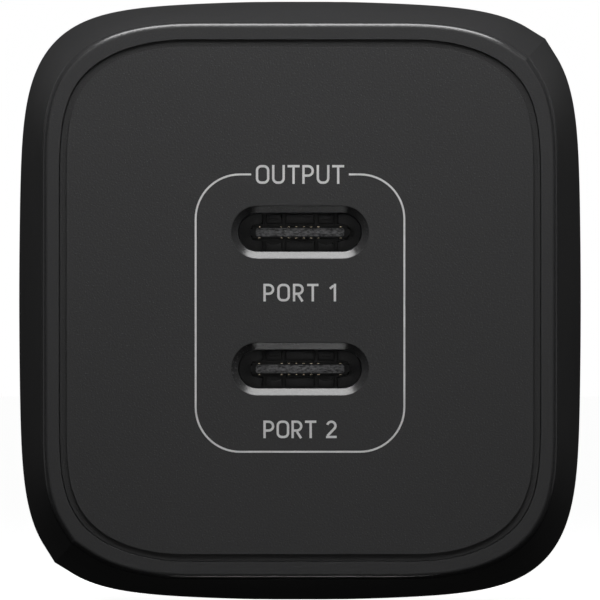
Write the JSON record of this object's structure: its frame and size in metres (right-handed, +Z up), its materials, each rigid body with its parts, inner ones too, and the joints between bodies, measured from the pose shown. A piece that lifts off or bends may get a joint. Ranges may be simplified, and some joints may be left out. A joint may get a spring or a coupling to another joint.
{
  "type": "usb wall charger",
  "caption": "Compact barrel-sided USB-C wall charger with stacked ports in an inset front panel and a folding blade plug in the wall face.",
  "frame": {"origin": "middle of the flat wall face, which goes against the wall", "axes": "+Y out of the wall face towards the wall, -Y out of the front with the ports, +Z up, +X to the right as seen from the front"},
  "size_m": [0.0384, 0.052, 0.0406],
  "materials": {
    "case_plastic": "fine spark-eroded matt black",
    "panel_plastic": "fine matt black with a faint sparkle",
    "cover_plastic": "matt black",
    "plug_plastic": "satin black",
    "print_ink": "pale grey pad-printed ink",
    "blade_metal": "nickel-plated brass, satin",
    "shell_steel": "dark tin-plated stainless steel",
    "plate_steel": "stainless steel",
    "spring_bronze": "phosphor bronze",
    "spring_steel": "spring steel",
    "screw_steel": "zinc-plated steel",
    "contact_gold": "gold plated",
    "insulator_plastic": "glass-filled nylon, dark grey",
    "board_laminate": "green solder mask",
    "chip_epoxy": "moulded epoxy",
    "solder_tin": "tinned",
    "ferrite": "sintered ferrite",
    "bobbin_plastic": "phenolic",
    "copper": "enamelled copper wire",
    "tape": "polyester film tape",
    "capacitor_sleeve": "shrink sleeve over an aluminium can",
    "capacitor_can": "bare can",
    "film_case": "potted film capacitor case",
    "disc_blue": "lacquered ceramic disc",
    "disc_green": "lacquered ceramic disc",
    "fuse_body": "ceramic tube",
    "opto_plastic": "white epoxy",
    "pad_silicone": "gap-filler silicone",
    "spreader_metal": "mill-finish sheet",
    "sheet_paper": "insulating fish paper"
  },
  "bodies": {
    "root": {"outer_sleeve": "case_plastic", "front_panel": "panel_plastic", "back_cover": "cover_plastic", "rotor_retainer": "plug_plastic", "retainer_screws": "screw_steel", "contact_spring_left": "spring_bronze", "contact_spring_right": "spring_bronze", "detent_spring": "spring_steel", "output_board": "board_laminate", "receptacle_shell_1": "shell_steel", "receptacle_housing_1": "insulator_plastic", "mid_plate_1": "plate_steel", "upper_contacts_1": "contact_gold", "lower_contacts_1": "contact_gold", "receptacle_shell_2": "shell_steel", "receptacle_housing_2": "insulator_plastic", "mid_plate_2": "plate_steel", "upper_contacts_2": "contact_gold", "lower_contacts_2": "contact_gold", "output_mosfets": "chip_epoxy", "port_controller": "chip_epoxy", "output_link_pins": "solder_tin", "main_board": "board_laminate", "transformer_core_lower": "ferrite", "transformer_core_upper": "ferrite", "transformer_bobbin": "bobbin_plastic", "transformer_winding": "copper", "transformer_tape": "tape", "transformer_pins": "solder_tin", "bulk_capacitors": "capacitor_sleeve", "output_capacitors": "capacitor_can", "sync_rectifier": "chip_epoxy", "control_board": "board_laminate", "gan_switch": "chip_epoxy", "primary_controller": "chip_epoxy", "optocoupler": "opto_plastic", "thermal_pad": "pad_silicone", "heat_spreader_left": "spreader_metal", "heat_spreader_right": "spreader_metal", "insulating_sheet": "sheet_paper", "board_link_bars": "copper", "input_board": "board_laminate", "x_capacitor": "film_case", "y_capacitor": "disc_blue", "choke_core": "ferrite", "choke_windings": "copper", "line_fuse": "fuse_body", "inrush_thermistor": "disc_green", "surge_varistor": "disc_blue", "bridge_rectifier": "chip_epoxy"},
    "plug": {"plug_rotor": "plug_plastic", "blade_left": "blade_metal", "blade_right": "blade_metal"}
  },
  "joints": [
    {"name": "plug_fold", "type": "hinge", "parent": "root", "child": "plug", "pos_m": [0, -0.005, 0.007], "axis": [1, 0, 0], "range_deg": [0, 90]}
  ]
}
